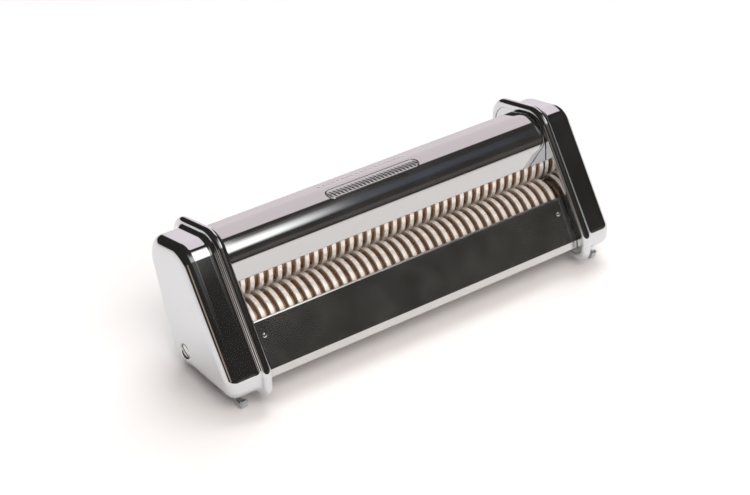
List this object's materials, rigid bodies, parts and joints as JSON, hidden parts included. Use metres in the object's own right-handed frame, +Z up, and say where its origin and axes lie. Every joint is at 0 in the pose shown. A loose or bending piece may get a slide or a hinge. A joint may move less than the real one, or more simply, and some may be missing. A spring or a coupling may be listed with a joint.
{
  "type": "pasta cutter attachment",
  "caption": "Long chromed noodle cutter with two geared, interlocking grooved rollers between end caps, a feed slot above them, hooks below and a crank socket at one end.",
  "frame": {"origin": "middle of the bounding box's bottom face, on the table it lies on, halfway between the two end caps", "axes": "+X along the rollers towards the crank end, -Y towards the feed slot, +Z up as it lies on its hooks and the rear edges of its caps"},
  "size_m": [0.1834, 0.0632, 0.0595],
  "materials": {
    "chrome": "mirror chrome plate on drawn and folded steel sheet",
    "plated_steel": "bright nickel plate, slightly worn",
    "roller_nickel": "warm satin nickel, turned",
    "zinc_steel": "dull zinc plate",
    "brass": "turned, unpolished",
    "gear_steel": "cut steel, lightly oiled"
  },
  "bodies": {
    "housing": {"top_panel": "chrome", "front_panel": "chrome", "left_side_plate": "chrome", "right_side_plate": "chrome", "left_end_cap": "chrome", "right_end_cap": "chrome", "left_cap_standoff": "zinc_steel", "right_cap_standoff": "zinc_steel", "left_cap_screw": "plated_steel", "right_cap_screw": "plated_steel", "left_hook": "plated_steel", "right_hook": "plated_steel", "left_panel_rivet": "plated_steel", "right_panel_rivet": "plated_steel", "front_roller_left_bush": "brass", "front_roller_right_bush": "brass", "rear_roller_left_bush": "brass", "rear_roller_right_bush": "brass", "front_rod_left_nut": "zinc_steel", "front_rod_right_nut": "zinc_steel", "upper_rod_left_nut": "zinc_steel", "upper_rod_right_nut": "zinc_steel", "lower_tie_rod": "zinc_steel", "front_tie_rod": "zinc_steel", "upper_tie_rod": "zinc_steel", "front_roller_comb": "plated_steel", "rear_roller_comb": "plated_steel"},
    "front_roller": {"front_cutting_roller": "roller_nickel", "front_roller_gear": "gear_steel", "front_roller_left_ring": "plated_steel", "crank_socket": "plated_steel", "crank_socket_pin": "zinc_steel"},
    "rear_roller": {"rear_cutting_roller": "roller_nickel", "rear_roller_gear": "gear_steel", "rear_roller_left_ring": "plated_steel", "rear_roller_right_ring": "plated_steel"}
  },
  "joints": [
    {"name": "front_roller_spin", "type": "hinge", "parent": "housing", "child": "front_roller", "pos_m": [0, -0.00584, 0.02149], "axis": [1, 0, 0], "continuous": true},
    {"name": "rear_roller_spin", "type": "hinge", "parent": "housing", "child": "rear_roller", "pos_m": [0, 0.00679, 0.03641], "axis": [1, 0, 0], "continuous": true}
  ],
  "couplings": [
    {"joint": "rear_roller_spin", "follows": "front_roller_spin", "ratio": -1}
  ]
}
